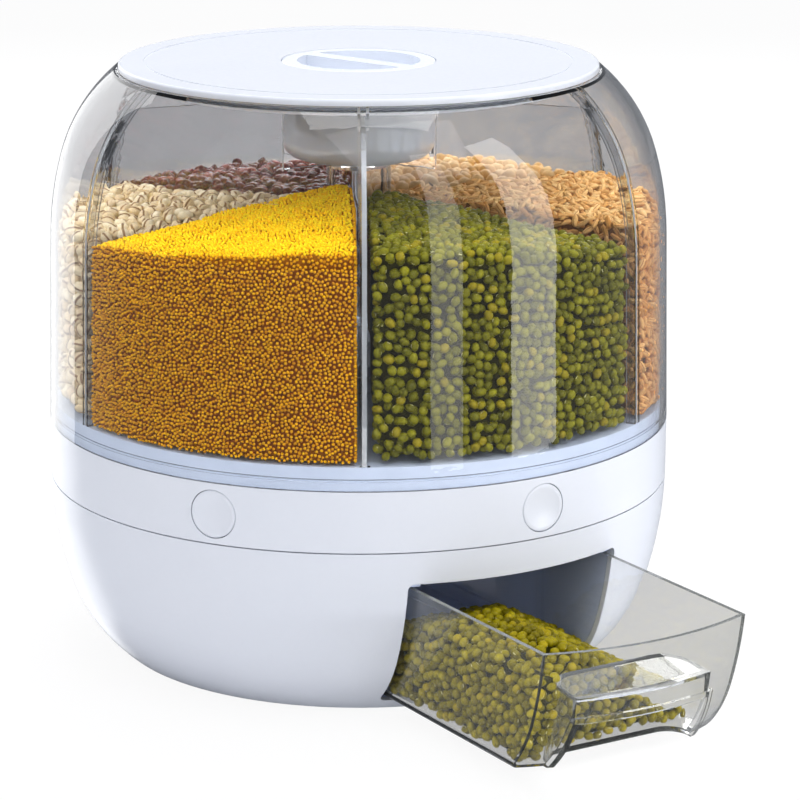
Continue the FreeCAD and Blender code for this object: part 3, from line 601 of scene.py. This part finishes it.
def studio_floor():
    """A pale floor that takes the part's shadow. It is nearly white where it is seen directly, and dimmer
    through clear plastic and after a reflection. Shiny surfaces don't mirror it."""
    mesh = bpy.data.meshes.new("studio_floor")
    reach = 4.0
    mesh.from_pydata([(-reach, -reach, 0), (reach, -reach, 0), (reach, reach, 0), (-reach, reach, 0)], [],
                     [(0, 1, 2, 3)])
    floor = bpy.data.objects.new("studio_floor", mesh)
    bpy.context.scene.collection.objects.link(floor)
    f = Finish("studio_floor")
    path = f.add("ShaderNodeLightPath", {}, {}, "Is Camera Ray")
    others = path.output.node.outputs
    seen = path + Socket(f, others["Is Glossy Ray"]) + Socket(f, others["Is Transmission Ray"])
    paper = f.speckle(3.0, 2.0)
    matt = f.principled(base=f.blend(paint(238, 238, 240), paint(246, 246, 247), paper), rough=0.9,
                        specular=0.0)
    shown = f.blend((1, 1, 1, 1), (0.7, 0.7, 0.71, 1), Socket(f, others["Is Transmission Ray"]))
    shown = f.blend(shown, (0.45, 0.45, 0.46, 1), Socket(f, others["Glossy Depth"]).clamped())
    bright = f.add("ShaderNodeEmission", {}, {"Color": shown, "Strength": 1.0})
    mixed = f.add("ShaderNodeMixShader", {}, {0: (seen * 0.92).clamped(), 1: matt, 2: bright})
    mesh.materials.append(f.show(mixed))
    floor.visible_glossy = False


def studio_world():
    """White backdrop and soft room light. Mirrored, it is a dim room. Through clear plastic it is white low
    down and grey high up. Rays from a matt surface, such as the grain, meet a bright sky high up instead, and
    rays that were mirrored first meet a dim one."""
    world = bpy.data.worlds.new("studio")
    bpy.context.scene.world = world
    world.use_nodes = True
    t = Tree(world.node_tree)
    path = t.add("ShaderNodeLightPath", {}, {}, "Is Camera Ray")
    others = path.output.node.outputs
    mirrored, through = Socket(t, others["Is Glossy Ray"]), Socket(t, others["Is Transmission Ray"])
    scattered, bounced = [Socket(t, others[name]).clamped() for name in ("Diffuse Depth", "Glossy Depth")]
    way = t.add("ShaderNodeTexCoord", {}, {}, "Generated")
    turn = math.radians(camera_turn)
    behind = t.vector("DOT_PRODUCT", way, (math.sin(turn), -math.cos(turn), 0), output="Value")
    across = t.vector("DOT_PRODUCT", way, (math.cos(turn), math.sin(turn), 0), output="Value")
    stops = [(0.0, (0.18, 0.2, 0.25, 1)), (0.35, (0.17, 0.18, 0.2, 1)), (0.7, (0.18, 0.19, 0.21, 1)),
             (1.0, (0.06, 0.065, 0.07, 1))]
    room = t.add("ShaderNodeValToRGB", {"stops": stops}, {0: across * 0.5 + 0.5})
    room = t.blend(room, (0.08, 0.085, 0.09, 1), behind.above(-0.35, 0.7))
    soft = (0.97 * room_light, 0.985 * room_light, 1.02 * room_light, 1)
    high = t.apart(way)[2].above(0.25, 0.3)
    seen = t.blend((1, 1, 1, 1), (0.36, 0.37, 0.39, 1), high)
    seen = t.blend(seen, (4.6, 4.6, 4.6, 1), high * scattered)
    seen = t.blend(seen, (0.26, 0.27, 0.29, 1), bounced * (1 - scattered))
    light = t.blend(t.blend(soft, room, mirrored), seen, through)
    light = t.blend(light, (1, 1, 1, 1), path)
    back = t.add("ShaderNodeBackground", {}, {"Color": light})
    t.add("ShaderNodeOutputWorld", {}, {"Surface": back})


def panel(name, turn, height, distance, wide, tall, power, aim=0.15, mirrored_only=False):
    """A light panel at a height and a distance from the axis, pointed at the height aim on it. turn, in
    degrees, goes from the drawer's side towards +X. Some panels only show as reflections."""
    data = bpy.data.lights.new(name, "AREA")
    data.shape = "RECTANGLE"
    data.size, data.size_y, data.energy = wide, tall, power
    lamp = bpy.data.objects.new(name, data)
    angle = math.radians(turn)
    lamp.location = (distance * math.sin(angle), -distance * math.cos(angle), height)
    lamp.rotation_euler = (Vector((0, 0, aim)) - lamp.location).to_track_quat("-Z", "Y").to_euler()
    lamp.visible_camera = False
    lamp.visible_diffuse = not mirrored_only
    bpy.context.scene.collection.objects.link(lamp)
    return lamp


def studio_camera():
    data = bpy.data.cameras.new("camera")
    data.lens, data.sensor_width, data.sensor_fit = lens_length, 36.0, "HORIZONTAL"
    data.shift_x = lens_shift
    camera = bpy.data.objects.new("camera", data)
    camera.location = camera_place
    camera.rotation_euler = (math.radians(90 - camera_tilt), 0, math.radians(camera_turn))
    bpy.context.scene.collection.objects.link(camera)
    bpy.context.scene.camera = camera


studio_floor()
studio_world()
studio_camera()
windows = [panel("window_near", -3, 0.46, 0.62, 0.115, 0.9, 0.85, 0.46, True),
           panel("window_wide", 28, 0.46, 0.62, 0.19, 0.9, 2.6, 0.46, True),
           panel("window_left", -173, 0.2, 1.2, 0.8, 1.9, 9, 0.2, True)]
panel("key_right", -6, 1.9, 1.2, 1.4, 1.4, 6)
low = panel("low_soft", 38, 0.06, 1.3, 1.9, 0.1, 7.5, 0.03)
soft = [low,
        panel("top_soft", 60, 2.2, 0.1, 1.2, 1.2, 24),
        panel("left_soft", -80, 1.2, 1.2, 1.0, 1.0, 1),
        panel("back_soft", 149, 1.0, 1.5, 1.4, 1.0, 20)]
for lamp in soft:
    lamp.visible_glossy = False
for lamp in windows + [low]:
    lamp.visible_transmission = False
bpy.context.scene.cycles.transparent_max_bounces = 32
bpy.context.scene.view_settings.view_transform = "Standard"
